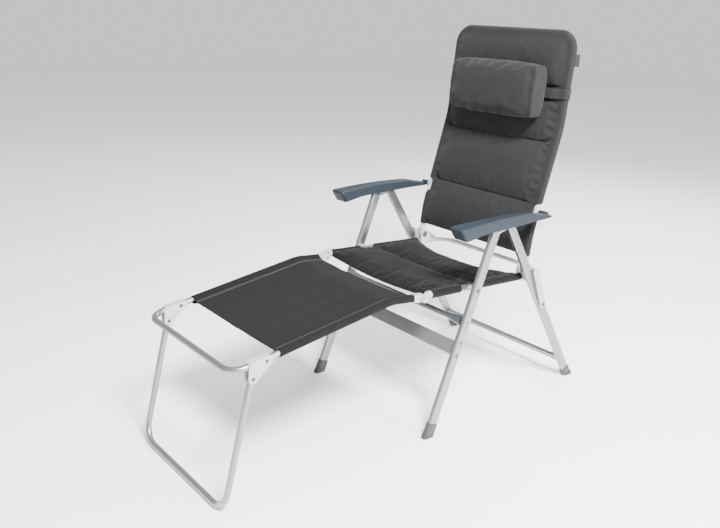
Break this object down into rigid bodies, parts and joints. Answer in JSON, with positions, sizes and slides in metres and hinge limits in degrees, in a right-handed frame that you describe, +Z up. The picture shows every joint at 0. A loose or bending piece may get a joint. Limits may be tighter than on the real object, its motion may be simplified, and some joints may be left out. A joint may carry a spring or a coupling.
{
  "type": "folding camping chair",
  "caption": "Folding camping chair with reclining padded back, head pillow, hard armrests and a clip-on sling footrest with its own folding leg.",
  "frame": {"origin": "On the floor under the middle of the chair with its footrest.", "axes": "+X to the sitter's left, -Y the way the sitter faces (footrest), +Z up."},
  "size_m": [0.6212, 1.429, 1.2029],
  "materials": {
    "aluminium": "satin anodised, light grey",
    "bracket_plastic": "fine-grained light warm grey",
    "cap_plastic": "matte mid grey",
    "arm_plastic": "fine-grained slate grey",
    "panel_paint": "satin grey",
    "white_paint": "satin white-grey powder coat",
    "steel": "zinc-plated",
    "dark_steel": "dark zinc, semi-matte",
    "seat_fabric": "woven polyester, dark charcoal",
    "back_fabric": "woven polyester, charcoal",
    "sling_fabric": "woven polyester, charcoal",
    "tag_fabric": "woven grey tape"
  },
  "bodies": {
    "front_frame": {"front_leg_left": "aluminium", "front_leg_right": "aluminium", "front_foot_cap_left": "cap_plastic", "front_foot_cap_right": "cap_plastic", "front_cross_panel": "panel_paint", "panel_screws": "dark_steel", "front_cross_bar": "aluminium", "leg_hinge_plates_left": "steel", "leg_hinge_plates_right": "steel", "hinge_plate_rivets": "dark_steel", "seat_pivot_bolts": "dark_steel", "seat_pivot_bushes": "bracket_plastic"},
    "rear_frame": {"rear_leg_left": "aluminium", "rear_leg_right": "aluminium", "rear_foot_cap_left": "cap_plastic", "rear_foot_cap_right": "cap_plastic", "rear_cross_bar": "aluminium"},
    "links": {"link_arm_left": "steel", "link_arm_right": "steel", "link_cover_left": "bracket_plastic", "link_cover_right": "bracket_plastic", "link_rivets": "dark_steel"},
    "seat": {"seat_tube_left": "aluminium", "seat_tube_right": "aluminium", "seat_cross_tube": "white_paint", "seat_rear_bracket_left": "bracket_plastic", "seat_rear_bracket_right": "bracket_plastic", "seat_front_fitting_left": "bracket_plastic", "seat_front_fitting_right": "bracket_plastic", "seat_cushion": "seat_fabric"},
    "back_pivots": {"back_pivot_rivets": "dark_steel"},
    "backrest": {"back_frame": "white_paint", "armrest_bosses": "bracket_plastic", "back_cover": "back_fabric", "side_tag": "tag_fabric"},
    "pillow": {"head_pillow": "back_fabric", "pillow_strap": "back_fabric"},
    "armrest_pins": {"leg_pivot_pins": "steel"},
    "armrest_saddles": {"armrest_saddle_left": "bracket_plastic", "armrest_saddle_right": "bracket_plastic"},
    "armrest_racks": {"armrest_rack_left": "arm_plastic", "armrest_rack_right": "arm_plastic"},
    "armrests": {"armrest_left": "arm_plastic", "armrest_right": "arm_plastic", "armrest_bushes": "arm_plastic"},
    "rest_pins": {"footrest_pins": "steel"},
    "footrest": {"footrest_frame": "aluminium", "footrest_hook_left": "bracket_plastic", "footrest_hook_right": "bracket_plastic", "gusset_bracket_left": "bracket_plastic", "gusset_bracket_right": "bracket_plastic", "gusset_rivets": "dark_steel", "footrest_leg_rivets": "dark_steel", "footrest_sling": "sling_fabric"},
    "rest_leg": {"footrest_leg": "aluminium"}
  },
  "joints": [
    {"name": "fold", "type": "hinge", "parent": "front_frame", "child": "seat", "pos_m": [0, 0.16389, 0.4455], "axis": [-1, 0, 0], "range_deg": [0, 79]},
    {"name": "rear_legs", "type": "hinge", "parent": "front_frame", "child": "rear_frame", "pos_m": [0, 0.29133, 0.642], "axis": [-1, 0, 0], "range_deg": [0, 54.5]},
    {"name": "links", "type": "hinge", "parent": "rear_frame", "child": "links", "pos_m": [0, 0.48817, 0.327], "axis": [-1, 0, 0], "range_deg": [0, 119.5]},
    {"name": "back_follow", "type": "hinge", "parent": "seat", "child": "back_pivots", "pos_m": [0, 0.4355, 0.453], "axis": [1, 0, 0], "range_deg": [0, 75.5]},
    {"name": "recline", "type": "hinge", "parent": "back_pivots", "child": "backrest", "pos_m": [0, 0.4355, 0.453], "axis": [-1, 0, 0], "range_deg": [0, 30]},
    {"name": "pillow_height", "type": "slide", "parent": "backrest", "child": "pillow", "axis": [0, 0.1044, 0.9945], "range_m": [-0.02, 0.05]},
    {"name": "armrest_swing", "type": "hinge", "parent": "front_frame", "child": "armrest_pins", "pos_m": [0, 0.29133, 0.642], "axis": [-1, 0, 0], "range_deg": [0, 93]},
    {"name": "armrest_tilt", "type": "hinge", "parent": "armrest_pins", "child": "armrest_saddles", "pos_m": [0, 0.29133, 0.642], "axis": [-1, 0, 0], "range_deg": [0, 9.7]},
    {"name": "armrest_travel", "type": "slide", "parent": "armrest_saddles", "child": "armrest_racks", "axis": [0, 1, 0], "range_m": [0, 0.093]},
    {"name": "armrest_fold_travel", "type": "slide", "parent": "armrest_racks", "child": "armrests", "axis": [0, 1, 0], "range_m": [0, 0.1]},
    {"name": "footrest_swing", "type": "hinge", "parent": "seat", "child": "rest_pins", "pos_m": [0, -0.0235, 0.4505], "axis": [1, 0, 0], "range_deg": [0, 110.5]},
    {"name": "footrest_lift", "type": "hinge", "parent": "rest_pins", "child": "footrest", "pos_m": [0, -0.0235, 0.4505], "axis": [-1, 0, 0], "range_deg": [0, 30]},
    {"name": "footrest_leg_fold", "type": "hinge", "parent": "footrest", "child": "rest_leg", "pos_m": [0, -0.6115, 0.371], "axis": [1, 0, 0], "range_deg": [0, 108]}
  ],
  "couplings": [
    {"joint": "rear_legs", "follows": "fold", "ratio": 0.68096},
    {"joint": "links", "follows": "fold", "ratio": 1.4905},
    {"joint": "back_follow", "follows": "fold", "ratio": 0.94578},
    {"joint": "armrest_swing", "follows": "fold", "ratio": 1.1715},
    {"joint": "armrest_tilt", "follows": "recline", "ratio": 0.30632},
    {"joint": "armrest_travel", "follows": "recline", "m_per_rad": 0.17495},
    {"joint": "armrest_fold_travel", "follows": "fold", "m_per_rad": 0.07159},
    {"joint": "footrest_swing", "follows": "fold", "ratio": 1.3871}
  ]
}
